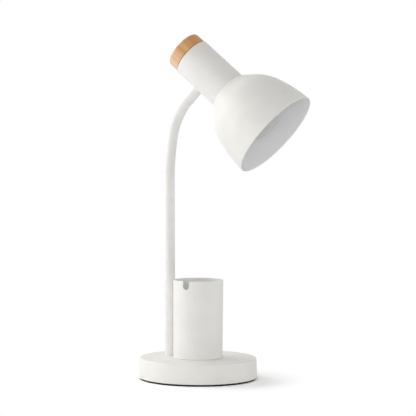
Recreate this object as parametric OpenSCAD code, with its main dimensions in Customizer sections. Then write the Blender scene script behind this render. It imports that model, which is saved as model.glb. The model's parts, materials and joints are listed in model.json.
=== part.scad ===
// Gooseneck desk lamp with a pen cup on a round weighted base.
// Millimetres, +Z up. The origin is the middle of the base's underside.
// The lamp's own plane is X-Z: the neck stands at -X and the shade points to +X.

/* [Base] */
// Diameter of the base at its foot
base_d = 150; // [144:1:170]
// Height of the base, pad included
base_h = 26.7; // [25:0.1:32]
// How much smaller the base is at its top, on the diameter
base_draft = 2; // [0.5:0.5:4]
// Radius of the base's top edge
base_edge_r = 2; // [1:0.5:3]
// Radius of the base's foot edge
base_foot_r = 1; // [0.5:0.1:1]
// Thickness of the foam pad under the base
pad_h = 2.2; // [1.5:0.1:3]

/* [Pen cup] */
// Diameter of the cup at its rim
cup_d = 63; // [58:0.5:64]
// Height of the cup
cup_h = 98; // [80:1:98]
// Wall thickness of the cup
cup_wall = 1.2; // [0.8:0.1:2]
// Width of the notch in the cup's rim
notch_w = 9; // [6:0.5:14]
// Depth of the notch in the cup's rim
notch_depth = 10.7; // [8:0.1:20]
// Where the notch faces, in degrees from +X
notch_angle = -96.6; // [-130:0.2:-50]

/* [Gooseneck] */
// Distance from the base's centre to the neck
neck_offset = 38.5; // [38.5:0.1:42]
// Outer diameter of the neck's sleeve
sleeve_d = 12.7; // [12.4:0.1:13]
// Outer diameter of the steel hose in the sleeve
hose_d = 10.4; // [10:0.1:10.4]
// Length of the neck's straight stretch, above its lowest 45 mm
straight_len = 178; // [170:1:190]
// How far the straight stretch leans back
lean = 0.5; // [0:0.1:1]
// Radius of the neck's gentle lower bend
low_bend_r = 330; // [300:5:360]
// Angle of the lower bend
low_bend_angle = 10; // [8:0.5:12]
// Radius of the neck's tight upper bend
top_bend_r = 86; // [80:1:92]
// Angle of the upper bend
top_bend_angle = 31.4; // [28:0.1:34]

/* [Head] */
// Diameter of the shade's mouth
mouth_d = 120.4; // [116:0.2:124]
// Wall thickness of the shade
shade_wall = 1; // [0.8:0.1:1.2]
// Diameter of the tubular housing
housing_d = 51.4; // [50:0.2:53]
// Length of the housing behind the neck's axis
housing_rear = 32.2; // [30:0.1:36]
// Length of the housing ahead of the neck's axis
housing_front = 33.4; // [33:0.1:34]
// Length of the wooden end cap that shows
cap_len = 16.5; // [12:0.1:20]
// Diameter of the wooden end cap
cap_d = 49.8; // [49:0.1:51]

/* [Bulb] */
// Diameter of the bulb's diffuser
globe_d = 60; // [56:1:60]
// Radius of the flattened top of the diffuser
globe_top_r = 40; // [36:1:50]
// Length of the bulb, from its contact to its tip
bulb_len = 98; // [97:0.5:101]

/* [Hidden] */
$fn = 96;
eps = 0.01;

// Base, from the floor up
base_r = base_d / 2;
base_top_r = base_r - base_draft / 2;
shell_wall = 1.2;
shell_top = 1.4;
plate_t = 1.2;
plate_r = base_r - 1.6;
plate_z = pad_h + plate_t;
pad_r = base_r - 2;
web_t = 7;
web_z = base_h - shell_top - web_t;
ballast_gap = 0.6;
ballast_edge_r = 2;
recess_r = 64;
boss_r = 6.5;
plate_screw_circle = 62;
plate_screw_r = 2;
plate_screw_head_r = 3.8;
plate_screw_head_h = 2.2;
plate_screw_len = 12;
plate_screw_slot = [4.4, 0.8, 1.2];
fit_gap = 0.1;
seat_gap = 0.03;

// Cord bush, its way through the ballast's rim, and the terminal block behind it
cord_way_w = 20;
bush_z = 11.5;
bush_hole_r = 5;
bush_bore_r = 3.6;
bush_flange_r = 6.5;
bush_len = 5.6;
bush_x = -base_r - 1.6;
bush_lip_r = 6;
bush_lip_x = -base_r + 2.15;
block_size = [14, 16, 9.4];
block_step = [10, 2.5, 2.5];
block_x = -57;

// Cup and its screw
cup_r = cup_d / 2;
cup_foot_r = cup_r - 0.4;
cup_edge_r = 1;
cup_floor = 1.4;
cup_screw_r = 2.45;
cup_washer_t = 1;
cup_washer_r = 8;
cup_head_r = 4.6;
cup_head_h = 2.8;
cup_head_edge_r = 1.4;
cup_screw_slot = [5.2, 1.2, 1.6];
cup_screw_len = 16.4;
cup_nut_t = 4;

// Neck fittings: a hollow stud that clamps the neck to the base
neck_x = -neck_offset;
ferrule_len = 14;
stud_r = 3.95;
stud_bore_r = 3.1;
stud_hole_r = 4.1;
stud_past_nut = 1;
stud_in_ferrule = 9;
ferrule_shoulder = 11;
foot_nut_w = 13;
nut_t = 4;
washer_t = 1.4;
washer_r = 9;

// Neck sections: the hose and sleeve bend at the stations, so each ends
// in a dome that the next one's spherical end runs round
sleeve_r = sleeve_d / 2;
sleeve_bore_r = 5.3;
hose_r = hose_d / 2;
hose_bore_r = 3.3;
dome_gap = 0.1;
hose_gap = 0.8;
lip_angle = 18;
stub_len = 45;
collar_len = 20;
collar_r = 6.8;
housing_r = housing_d / 2;
low_bend_len = low_bend_r * low_bend_angle * PI / 180;
top_bend_len = top_bend_r * top_bend_angle * PI / 180;
end_len = collar_len + housing_r + 10;
head_tilt = low_bend_angle + top_bend_angle - lean;

// The neck's stretches: length, bend radius (0 is straight), lean at its start.
// The last one runs on past the head's axis.
stretches = [
    [stub_len, 0, 0],
    [straight_len, 0, -lean],
    [low_bend_len, low_bend_r, -lean],
    [top_bend_len, top_bend_r, low_bend_angle - lean],
    [end_len, 0, head_tilt]
];
bends_at = stub_len + straight_len;
collar_at = bends_at + low_bend_len + top_bend_len;
neck_len = collar_at + collar_len + housing_r;
first_link_len = 60;
straight_links = 5;
station_pitch = (straight_len - first_link_len) / straight_links;
stations = [
    0,
    stub_len,
    for (i = [0:straight_links]) stub_len + first_link_len + i * station_pitch,
    bends_at + low_bend_len / 2,
    bends_at + low_bend_len,
    bends_at + low_bend_len + top_bend_len / 2,
    collar_at
];
last_link = len(stations) - 2;

// Wires: two single leads side by side
wire_r = 1;
wire_y = 2;
wire_bend_r = 5;
wire_top_bend_r = 3.5;
wire_low_z = 6.9;
wire_drop = (base_h + stub_len - wire_low_z - wire_bend_r * (1 + sin(lean))) / cos(lean);
wire_low_run = neck_x + wire_drop * sin(lean) - wire_bend_r * cos(lean) - block_x - 1;
wire_end = 2.4;
wire_step = 10;
wire_run = 25;
wire_sides = 8;
terminal_x = 9;
terminal_r = 1.6;

// Head, measured along its axis from the neck's axis towards the mouth
housing_wall = 1.2;
housing_in_r = housing_r - housing_wall;
spigot_r = 4.95;
spigot_hole_r = 5.1;
spigot_end = 16.6;
head_nut_x = 17.6;
head_nut_w = 14;
cap_seam = 0.5;
cap_edge_r = 3;
cap_plug_len = 6;
holder_plate_t = 1.8;
holder_r = 19.4;
holder_shoulder_r = 22.3;
holder_shoulder_t = 3.2;
holder_back = 2.2;
holder_front = 52;
holder_bore_r = 17;
shell_pocket_r = 14.2;
screw_shell_r = 13.9;
screw_shell_t = 0.45;
screw_shell_len = 24;
contact_z = 8.9;
contact_seat_z = contact_z + 0.9;
ring_t = 6.6;
ring_r = 22.6;
ring_flange_r = 24;
ring_flange_t = 2;
ring_grooves = 18;
ring_groove_r = 1.2;

// Shade: two arcs and a cone, from the mouth back to the housing
mouth_r = mouth_d / 2;
mouth_slope = 1.9;
skirt_arc_r = 178.6;
skirt_arc = 14.5;
shoulder_arc_r = 64.2;
shoulder_arc = 26.6;
cone_slope = mouth_slope + skirt_arc + shoulder_arc;
arc_step = 2;

// Bulb: its diffuser has a flat-topped dome, a rounded edge and a side that draws in to its rim
globe_r = globe_d / 2;
globe_wall = 1.4;
globe_tip_z = contact_z + bulb_len;
globe_edge_r = 16;
globe_side_r = 34;
globe_side_arc = 28;
globe_wide_z = globe_tip_z - globe_top_r
    + sqrt(pow(globe_top_r - globe_edge_r, 2) - pow(globe_r - globe_edge_r, 2));
globe_edge_arc = atan2(globe_wide_z - globe_tip_z + globe_top_r, globe_r - globe_edge_r);
globe_cut_z = globe_wide_z - globe_side_r * sin(globe_side_arc);
globe_rim_r = globe_r - globe_side_r * (1 - cos(globe_side_arc));
bulb_cap_r = 13.2;
bulb_cap_z = [14, 36];
bulb_cap_wall = 0.8;
collar_foot_r = 14.6;
collar_waist_r = 15.6;
collar_waist_z = 48;
board_r = 22;
board_t = 1.6;
led_size = [2.8, 3.5, 0.8];
led_count = 10;
led_circle = 14;

// ---- Helpers ----

// Round post with a drafted wall; its top and foot edges are rounded if edge and foot are above 0
module post(r_foot, r_top, h, edge = 0, foot = 0) {
    rotate_extrude() {
        polygon(concat(
            [[0, 0]],
            foot > 0 ? [[r_foot - foot, 0], [r_foot, foot]] : [[r_foot, 0]],
            edge > 0 ? [[r_top, h - edge], [r_top - edge, h]] : [[r_top, h]],
            [[0, h]]
        ));
        if (edge > 0) translate([r_top - edge, h - edge]) quarter_disc(edge, 0);
        if (foot > 0) translate([r_foot - foot, foot]) quarter_disc(foot, -foot);
    }
}

// Quarter of a disc at +X, above its centre if low is 0 and below it if low is -r
module quarter_disc(r, low) {
    intersection() {
        circle(r);
        translate([0, low]) square(r);
    }
}

// Cross-shaped slot cut down to z = 0, for a driver
module cross_slot(size) {
    for (a = [0, 90])
        rotate([0, 0, a]) translate([-size.x / 2, -size.y / 2, 0]) cube(size);
}

module ring(r_out, r_in, h) {
    difference() {
        cylinder(h = h, r = r_out);
        translate([0, 0, -1]) cylinder(h = h + 2, r = r_in);
    }
}

module hex_nut(across_flats, r_hole, h) {
    difference() {
        cylinder(h = h, r = across_flats / sqrt(3), $fn = 6);
        translate([0, 0, -1]) cylinder(h = h + 2, r = r_hole);
    }
}

// Points of an arc: centre, radius, first and last angle, and steps
function arc_points(c, r, from, to, n) =
    [for (i = [0:n]) let (a = from + (to - from) * i / n) c + r * [cos(a), sin(a)]];

// ---- The neck's route ----

function stretch_move(s, st) =
    st[1] == 0
    ? s * [sin(st[2]), cos(st[2])]
    : let (b = st[2] + s / st[1] * 180 / PI)
      st[1] * [cos(st[2]) - cos(b), sin(b) - sin(st[2])];
function stretch_start(i) = i == 0 ? 0 : stretch_start(i - 1) + stretches[i - 1][0];
function stretch_foot(i) =
    i == 0
    ? [neck_x, base_h]
    : stretch_foot(i - 1) + stretch_move(stretches[i - 1][0], stretches[i - 1]);
function stretch_turn(s, st) = st[1] == 0 ? 0 : s / st[1] * 180 / PI;

// Puts a part on the neck's line in stretch i, s along the neck, with +Z along the neck
module on_stretch(i, s) {
    st = stretches[i];
    along = s - stretch_start(i);
    p = stretch_foot(i) + stretch_move(along, st);
    translate([p.x, 0, p.y])
        rotate([0, st[2] + stretch_turn(along, st), 0])
            children();
}

module on_neck(s) {
    on_stretch(max([for (k = [0:len(stretches) - 1]) if (stretch_start(k) <= s + eps) k]), s) children();
}

// Round bar or tube with stretch i's bend, that leaves along +Z; r_in of 0 is solid
module bar(i, length, r, r_in = 0) {
    st = stretches[i];
    if (st[1] == 0) linear_extrude(length) section(r, r_in);
    else bent_bar(st[1], stretch_turn(length, st), r, r_in);
}

// Puts a part at the far end of such a bar
module bar_end(i, length) {
    st = stretches[i];
    move = stretch_move(length, [length, st[1], 0]);
    translate([move.x, 0, move.y]) rotate([0, stretch_turn(length, st), 0]) children();
}

module section(r, r_in) {
    difference() {
        circle(r);
        if (r_in > 0) circle(r_in);
    }
}

// Bar or tube that leaves along +Z and bends towards +X
module bent_bar(bend_r, angle, r, r_in = 0) {
    translate([bend_r, 0, 0])
        rotate([0, 0, 180])
            rotate([90, 0, 0])
                rotate_extrude(angle = angle)
                    translate([bend_r, 0]) section(r, r_in);
}

module dome(r) {
    intersection() {
        sphere(r);
        cylinder(h = r + 1, r = r + 1);
    }
}

// ---- Base ----

module base_outline(inset, h, foot = 0) {
    translate([0, 0, pad_h])
        post(base_r - inset, base_top_r - inset, h, max(base_edge_r - inset, 0.8), foot);
}

module base_shell() {
    color("#f1efec")
        difference() {
            base_outline(0, base_h - pad_h, base_foot_r);
            translate([0, 0, -1]) base_outline(shell_wall, base_h - pad_h - shell_top + 1);
            translate([neck_x, 0, 0]) cylinder(h = base_h + 1, r = stud_hole_r);
            cylinder(h = base_h + 1, r = cup_screw_r + fit_gap);
            translate([-base_r - 5, 0, bush_z]) rotate([0, 90, 0]) cylinder(h = 20, r = bush_hole_r);
        }
}

module plate_screw_places() {
    for (a = [0, 120, 240])
        rotate([0, 0, a]) translate([plate_screw_circle, 0, pad_h]) children();
}

module plate_screw_hole() {
    cylinder(h = plate_screw_len + 1, r = plate_screw_r + fit_gap);
    translate([0, 0, -1])
        cylinder(h = 1 + eps, r = plate_screw_head_r + fit_gap);
    cylinder(h = plate_screw_head_h, r1 = plate_screw_head_r + fit_gap, r2 = plate_screw_r + fit_gap);
}

// Dished casting: a web under the shell's top, a heavy rim and three bosses down to the plate
module base_ballast() {
    color("#4a4b4d")
        difference() {
            translate([0, 0, plate_z])
                post(base_r - shell_wall - ballast_gap, base_top_r - shell_wall - ballast_gap,
                    base_h - shell_top - plate_z, ballast_edge_r);
            difference() {
                cylinder(h = web_z, r = recess_r);
                plate_screw_places() cylinder(h = web_z, r = boss_r);
            }
            translate([neck_x, 0, 0]) cylinder(h = base_h, r = stud_hole_r);
            cylinder(h = base_h, r = cup_screw_r + fit_gap);
            translate([-base_r, -cord_way_w / 2, 0]) cube([base_r - recess_r + 4, cord_way_w, web_z]);
            plate_screw_places() plate_screw_hole();
        }
}

module base_plate() {
    color("#b9bbbd")
        difference() {
            translate([0, 0, pad_h]) cylinder(h = plate_t, r = plate_r);
            plate_screw_places() plate_screw_hole();
        }
}

module base_pad() {
    color("#1d1d1e") cylinder(h = pad_h, r = pad_r);
}

module plate_screws() {
    color("#c9cbcd")
        plate_screw_places()
            difference() {
                union() {
                    cylinder(h = plate_screw_len, r = plate_screw_r);
                    cylinder(h = plate_screw_head_h, r1 = plate_screw_head_r, r2 = plate_screw_r);
                }
                translate([0, 0, -eps]) cross_slot(plate_screw_slot);
            }
}

module cord_bush() {
    color("#e9e7e3")
        difference() {
            union() {
                difference() {
                    along_x(bush_x, bush_len, bush_flange_r);
                    base_outline(0, base_h - pad_h, base_foot_r);
                }
                along_x(bush_x, bush_len, bush_hole_r - seat_gap);
                along_x(bush_lip_x, bush_x + bush_len - bush_lip_x, bush_lip_r);
            }
            along_x(bush_x - 1, bush_len + 2, bush_bore_r);
        }
}

// Bar along X at the cord bush's height
module along_x(x, length, r) {
    translate([x, 0, bush_z]) rotate([0, 90, 0]) cylinder(h = length, r = r);
}

module terminal_block() {
    color("#dcd8ce")
        difference() {
            translate([block_x - block_size.x / 2, -block_size.y / 2, plate_z]) cube(block_size);
            for (side = [-1, 1])
                translate([block_x - block_size.x, side * wire_y, wire_low_z])
                    rotate([0, 90, 0]) cylinder(h = 2 * block_size.x, r = wire_r + fit_gap);
            for (side = [-1, 1])
                translate([block_x, side * block_size.y / 2, plate_z + block_size.z])
                    cube([block_step.x, 2 * block_step.y, 2 * block_step.z], center = true);
        }
}

module foot_nipple() {
    color("#d8c27a")
        translate([neck_x, 0, web_z - washer_t - nut_t - stud_past_nut])
            ring(stud_r, stud_bore_r,
                stud_past_nut + nut_t + washer_t + web_t + shell_top + stud_in_ferrule);
}

module foot_washer() {
    color("#c9cbcd") translate([neck_x, 0, web_z - washer_t]) ring(washer_r, stud_r + fit_gap, washer_t);
}

module foot_nut() {
    color("#d0b25e")
        translate([neck_x, 0, web_z - washer_t - nut_t]) hex_nut(foot_nut_w, stud_r + seat_gap, nut_t);
}

module foot_ferrule() {
    color("#c9b06a")
        translate([neck_x, 0, base_h])
            difference() {
                cylinder(h = ferrule_len, r = hose_r);
                translate([0, 0, -1]) cylinder(h = ferrule_shoulder, r = stud_r + seat_gap);
                cylinder(h = ferrule_len + 1, r = hose_bore_r);
            }
}

// ---- Pen cup ----

module pen_cup() {
    color("#f3f1ee")
        translate([0, 0, base_h])
            difference() {
                post(cup_foot_r, cup_r, cup_h, 0, cup_edge_r);
                translate([0, 0, cup_floor])
                    post(cup_foot_r - cup_wall, cup_r - cup_wall, cup_h, 0, cup_edge_r);
                translate([0, 0, -1]) cylinder(h = 5, r = cup_screw_r + fit_gap);
                rotate([0, 0, notch_angle]) rim_notch();
            }
}

// U-shaped notch that runs out through the rim, towards +X
module rim_notch() {
    translate([cup_r / 2, 0, cup_h - notch_depth + notch_w / 2])
        rotate([0, 90, 0]) cylinder(h = cup_r, r = notch_w / 2);
    translate([cup_r / 2, -notch_w / 2, cup_h - notch_depth + notch_w / 2])
        cube([cup_r, notch_w, notch_depth]);
}

module cup_screw() {
    head_z = base_h + cup_floor + cup_washer_t;
    color("#c9cbcd")
        difference() {
            union() {
                translate([0, 0, head_z - cup_screw_len])
                    cylinder(h = cup_screw_len + 1, r = cup_screw_r - seat_gap);
                translate([0, 0, head_z]) post(cup_head_r, cup_head_r - 0.3, cup_head_h, cup_head_edge_r);
            }
            translate([0, 0, head_z + cup_head_h - cup_screw_slot.z]) cross_slot(cup_screw_slot + [0, 0, 1]);
        }
}

module cup_washer() {
    color("#bfc1c3")
        translate([0, 0, base_h + cup_floor]) ring(cup_washer_r, cup_screw_r + fit_gap, cup_washer_t);
}

module cup_nut() {
    color("#c9cbcd") translate([0, 0, web_z - cup_nut_t]) hex_nut(8, cup_screw_r, cup_nut_t);
}

// ---- Gooseneck ----

// Each length of sleeve and hose lies in one stretch
function link_stretch(i) =
    max([for (k = [0:len(stretches) - 1]) if (stretch_start(k) <= stations[i] + eps) k]);

// One length of the smooth sleeve, domed at its top end and hollowed at its lower end.
// It is drawn from its top end down.
module neck_sleeve(i) {
    k = link_stretch(i);
    length = stations[i + 1] - stations[i];
    domed = i < last_link;
    color("#f2f0ed")
        on_stretch(k, stations[i + 1])
            mirror([0, 0, 1])
                difference() {
                    union() {
                        bar(k, length, sleeve_r, domed ? 0 : sleeve_bore_r);
                        if (domed) mirror([0, 0, 1]) dome(sleeve_r);
                    }
                    if (domed) {
                        bar(k, length + 1, sleeve_bore_r);
                        mirror([0, 0, 1]) lip_opening();
                    }
                    if (i > 0) bar_end(k, length) sphere(sleeve_r + dome_gap);
                }
}

// Opens the dome's inside, so that the next hose length can tilt in it
module lip_opening() {
    below = 0.6;
    tip = 1;
    grow = tan(lip_angle);
    translate([0, 0, -below - tip])
        cylinder(h = sleeve_r + below + tip, r1 = sleeve_bore_r - tip * grow,
            r2 = sleeve_bore_r + (sleeve_r + below) * grow);
}

// One length of the steel hose, stopping short of its neighbours by hose_gap
module neck_hose(i) {
    k = link_stretch(i);
    s0 = i == 0 ? ferrule_len : stations[i] + hose_gap;
    s1 = stations[i + 1] - (i == last_link ? 0 : hose_gap);
    color("#8d8f92") on_stretch(k, s0) bar(k, s1 - s0, hose_r, hose_bore_r);
}

// ---- Wires ----

// Frames [x, z, heading] along a run of moves [length, bend radius]; a radius below 0 bends towards -X
function wire_frames(f, moves, i = 0) =
    i == len(moves)
    ? []
    : let (
        st = [moves[i][0], moves[i][1], f[2]],
        steps = st[1] == 0 ? 1 : ceil(max(abs(stretch_turn(st[0], st)) / wire_step, st[0] / wire_run)),
        frames = [
            for (k = [1:steps])
                let (s = st[0] * k / steps, m = stretch_move(s, st))
                [f[0] + m.x, f[1] + m.y, f[2] + stretch_turn(s, st)]
        ]
    ) concat(frames, wire_frames(frames[steps - 1], moves, i + 1));

// From the terminal block, up the neck and across the housing to the lampholder
function wire_moves(side) = [
    [wire_low_run, 0],
    [wire_bend_r * (90 + lean) * PI / 180, -wire_bend_r],
    [wire_drop + straight_len, 0],
    [low_bend_len, low_bend_r],
    [top_bend_len, top_bend_r],
    [collar_len + housing_r - side * terminal_x - wire_top_bend_r, 0],
    [wire_top_bend_r * PI / 2, wire_top_bend_r],
    [wire_end, 0]
];

module lead(side) {
    start = [block_x + 1, wire_low_z, 90];
    frames = concat([start], wire_frames(start, wire_moves(side)));
    n = wire_sides;
    points = [
        for (f = frames, k = [0:n - 1])
            let (a = k * 360 / n)
            [f[0] + wire_r * cos(a) * cos(f[2]), side * wire_y + wire_r * sin(a), f[1] - wire_r * cos(a) * sin(f[2])]
    ];
    sides = [
        for (i = [0:len(frames) - 2], k = [0:n - 1])
            let (m = (k + 1) % n)
            [i * n + k, (i + 1) * n + k, (i + 1) * n + m, i * n + m]
    ];
    ends = [[for (k = [0:n - 1]) k], [for (k = [n - 1:-1:0]) (len(frames) - 1) * n + k]];
    polyhedron(points, concat(sides, ends));
}

module lamp_leads() {
    color("#e4e2dc") for (side = [-1, 1]) lead(side);
}

// ---- Head ----

// Head frame: origin where the neck's axis meets the head's, +Z towards the mouth
module in_head() {
    on_neck(neck_len) rotate([0, 90, 0]) children();
}

// Bar on the neck's axis inside the head, from x0 to x1 away from the head's axis
module cross_bar(x0, x1, r, fn = 96) {
    translate([x0, 0, 0]) rotate([0, 90, 0]) cylinder(h = x1 - x0, r = r, $fn = fn);
}

module top_ferrule() {
    color("#f1efec")
        in_head()
            difference() {
                union() {
                    difference() {
                        cross_bar(housing_r - 2, housing_r + collar_len, collar_r);
                        translate([0, 0, -collar_r - 1]) cylinder(h = 2 * collar_r + 2, r = housing_r);
                    }
                    cross_bar(spigot_end, housing_r + 2, spigot_r);
                }
                cross_bar(spigot_end - 1, housing_r + collar_len, stud_bore_r);
            }
}

module top_washer() {
    color("#c9cbcd")
        in_head()
            difference() {
                intersection() {
                    cross_bar(head_nut_x + nut_t, housing_r, washer_r - 0.5);
                    translate([0, 0, -washer_r]) cylinder(h = 2 * washer_r, r = housing_in_r);
                }
                cross_bar(head_nut_x, housing_r, spigot_r + fit_gap);
            }
}

module top_nut() {
    color("#d0b25e")
        in_head()
            difference() {
                cross_bar(head_nut_x, head_nut_x + nut_t, head_nut_w / sqrt(3), 6);
                cross_bar(head_nut_x - 1, head_nut_x + nut_t + 1, spigot_r + seat_gap);
            }
}

module head_housing() {
    color("#f4f2ef")
        in_head()
            difference() {
                translate([0, 0, -housing_rear]) cylinder(h = housing_rear + housing_front, r = housing_r);
                translate([0, 0, -housing_rear - 1])
                    cylinder(h = housing_rear + housing_front + 2, r = housing_in_r);
                cross_bar(housing_r - 5, housing_r + 1, spigot_hole_r);
            }
}

module wood_cap() {
    cap_r = cap_d / 2;
    color("#d9ad7c")
        in_head()
            rotate([180, 0, 0]) {
                translate([0, 0, housing_rear + cap_seam])
                    post(cap_r, cap_r - 0.2, cap_len - cap_seam, cap_edge_r);
                translate([0, 0, housing_rear - cap_plug_len])
                    cylinder(h = cap_plug_len + cap_seam + eps, r = housing_in_r - seat_gap);
            }
}

module holder_plate() {
    color("#b9bbbd")
        in_head()
            translate([0, 0, housing_front - holder_plate_t])
                ring(housing_in_r - seat_gap, holder_r + 0.2, holder_plate_t);
}

module holder_body() {
    shoulder_z = housing_front - holder_plate_t - holder_shoulder_t;
    color("#eceae5")
        in_head()
            difference() {
                union() {
                    rotate_extrude()
                        polygon([
                            [0, holder_back], [12.5, holder_back], [15.6, holder_back + 4],
                            [holder_r, holder_back + 12], [holder_r, holder_front], [0, holder_front]
                        ]);
                    translate([0, 0, shoulder_z]) cylinder(h = holder_shoulder_t, r = holder_shoulder_r);
                }
                translate([0, 0, bulb_cap_z[1] - 1]) cylinder(h = holder_front, r = holder_bore_r);
                translate([0, 0, contact_seat_z]) cylinder(h = holder_front, r = shell_pocket_r);
                translate([0, 0, contact_z - 2.4]) cylinder(h = 10, r = 6.2);
                for (side = [-1, 1])
                    translate([side * terminal_x, side * wire_y, holder_back - 1])
                        cylinder(h = 5.2, r = terminal_r);
            }
}

module holder_terminals() {
    color("#d0b25e")
        in_head()
            for (side = [-1, 1])
                translate([side * terminal_x, side * wire_y, holder_back + 1.4])
                    ring(terminal_r - 0.02, wire_r + 0.02, 2.7);
}

module holder_shell() {
    color("#d8c27a")
        in_head()
            translate([0, 0, contact_seat_z])
                difference() {
                    cylinder(h = screw_shell_len, r = screw_shell_r);
                    translate([0, 0, 0.6]) cylinder(h = screw_shell_len, r = screw_shell_r - screw_shell_t);
                    translate([0, 0, -1]) cylinder(h = 3, r = 12.6);
                }
}

module holder_contact() {
    color("#d8c27a")
        in_head() {
            translate([0, 0, contact_z - 2.4]) cylinder(h = 1, r = 4);
            translate([0, 0, contact_z - 1.4]) cylinder(h = 1.4, r = 2.6);
        }
}

module shade_ring() {
    color("#eceae5")
        in_head()
            translate([0, 0, housing_front + shade_wall])
                difference() {
                    union() {
                        cylinder(h = ring_t, r = ring_r);
                        cylinder(h = ring_flange_t, r = ring_flange_r);
                    }
                    translate([0, 0, -1]) cylinder(h = ring_t + 2, r = holder_r + 0.05);
                    for (i = [0:ring_grooves - 1])
                        rotate([0, 0, i * 360 / ring_grooves])
                            translate([ring_r + 0.5, 0, ring_flange_t])
                                cylinder(h = ring_t, r = ring_groove_r, $fn = 24);
                }
}

// Half of the bell's outline, [radius, distance behind the mouth], wall inset t
function skirt_centre() = [mouth_r - skirt_arc_r * cos(mouth_slope), -skirt_arc_r * sin(mouth_slope)];
function shoulder_centre() =
    let (a = mouth_slope + skirt_arc)
    skirt_centre() + (skirt_arc_r - shoulder_arc_r) * [cos(a), sin(a)];
function cone_start(t) = shoulder_centre() + (shoulder_arc_r - t) * [cos(cone_slope), sin(cone_slope)];
function cone_end(t, r) =
    let (p = cone_start(t))
    [r, p.y + (p.x - r) / tan(cone_slope)];
function bell_line(t) = concat(
    [[mouth_r - t / cos(mouth_slope), 0]],
    arc_points(skirt_centre(), skirt_arc_r - t, mouth_slope, mouth_slope + skirt_arc, ceil(skirt_arc / arc_step)),
    arc_points(shoulder_centre(), shoulder_arc_r - t, mouth_slope + skirt_arc, cone_slope,
        ceil(shoulder_arc / arc_step))
);
bell_len = cone_end(0, housing_r).y;
mouth_z = housing_front + bell_len;

module shade() {
    inner = bell_line(shade_wall);
    inner_foot = cone_start(shade_wall);
    floor_y = bell_len - shade_wall;
    inner_corner = [inner_foot.x - (floor_y - inner_foot.y) * tan(cone_slope), floor_y];
    outline = concat(
        bell_line(0),
        [[housing_r, bell_len], [holder_r + 0.2, bell_len], [holder_r + 0.2, floor_y], inner_corner],
        [for (i = [len(inner) - 1:-1:0]) inner[i]]
    );
    color("#f4f2ef")
        in_head()
            translate([0, 0, mouth_z]) rotate([180, 0, 0]) rotate_extrude($fn = 180) polygon(outline);
}

// ---- Bulb ----

// Outline of the diffuser from its rim to its tip, wall inset t
function globe_line(t) = concat(
    arc_points([globe_r - globe_side_r, globe_wide_z], globe_side_r - t,
        -asin((globe_wide_z - globe_cut_z) / (globe_side_r - t)), 0, 7),
    arc_points([globe_r - globe_edge_r, globe_wide_z], globe_edge_r - t, 0, globe_edge_arc, 12),
    arc_points([0, globe_tip_z - globe_top_r], globe_top_r - t, globe_edge_arc, 90, 10)
);

module bulb_globe() {
    inner = globe_line(globe_wall);
    color("#f5f3ee")
        in_head()
            rotate_extrude()
                polygon(concat(globe_line(0), [for (i = [len(inner) - 1:-1:0]) inner[i]]));
}

// Body of the bulb: it fits on the metal cap and flares out to carry the diffuser
module bulb_collar() {
    run = globe_cut_z - collar_waist_z;
    flare = 2 * atan((globe_rim_r - collar_waist_r) / run);
    flare_r = run / sin(flare);
    foot_z = bulb_cap_z[1] - 3;
    inside_r = bulb_cap_r - bulb_cap_wall - 0.1;
    side = concat(
        [[0, foot_z], [inside_r, foot_z], [inside_r, bulb_cap_z[1]], [collar_foot_r, bulb_cap_z[1]]],
        arc_points([collar_waist_r + flare_r, collar_waist_z], flare_r, 180, 180 - flare, 10),
        [[0, globe_cut_z]]
    );
    color("#efeeea")
        in_head()
            difference() {
                rotate_extrude() polygon(side);
                translate([0, 0, globe_cut_z - board_t - 0.4]) cylinder(h = 3, r = board_r + 0.5);
            }
}

module bulb_board() {
    color("#dfe3e6")
        in_head()
            translate([0, 0, globe_cut_z - board_t - 0.4]) {
                cylinder(h = board_t, r = board_r);
                for (i = [0:led_count - 1])
                    rotate([0, 0, i * 360 / led_count])
                        translate([led_circle, 0, board_t + led_size.z / 2 - eps])
                            cube(led_size, center = true);
            }
}

module bulb_cap() {
    foot = bulb_cap_z[0] - 1.6;
    color("#c4c6c8")
        in_head()
            rotate_extrude()
                polygon([
                    [9, foot], [10.6, foot], [bulb_cap_r, foot + 2.6], [bulb_cap_r, bulb_cap_z[1]],
                    [bulb_cap_r - bulb_cap_wall, bulb_cap_z[1]], [bulb_cap_r - bulb_cap_wall, foot + 3],
                    [10.2, foot + bulb_cap_wall], [9, foot + bulb_cap_wall]
                ]);
}

module bulb_insulator() {
    color("#232325")
        in_head()
            rotate_extrude()
                polygon([
                    [0, contact_z + 1], [4.6, contact_z + 1], [8.9, bulb_cap_z[0] - 1.6],
                    [8.9, bulb_cap_z[0] - 1], [0, bulb_cap_z[0] - 1]
                ]);
}

module bulb_contact() {
    color("#b7b9bb") in_head() translate([0, 0, contact_z]) cylinder(h = 1, r = 4.2);
}

// ---- Assembly ----

base_shell();
base_ballast();
base_plate();
base_pad();
plate_screws();
cord_bush();
terminal_block();
foot_nipple();
foot_washer();
foot_nut();
foot_ferrule();
pen_cup();
cup_screw();
cup_washer();
cup_nut();
for (i = [0:last_link])
    neck_sleeve(i);
for (i = [0:last_link])
    neck_hose(i);
lamp_leads();
top_ferrule();
top_washer();
top_nut();
head_housing();
wood_cap();
holder_plate();
holder_body();
holder_shell();
holder_contact();
holder_terminals();
shade_ring();
shade();
bulb_globe();
bulb_collar();
bulb_board();
bulb_cap();
bulb_insulator();
bulb_contact();
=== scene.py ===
import json
import math

import bmesh
import bpy
from mathutils import Matrix, Vector

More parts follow.
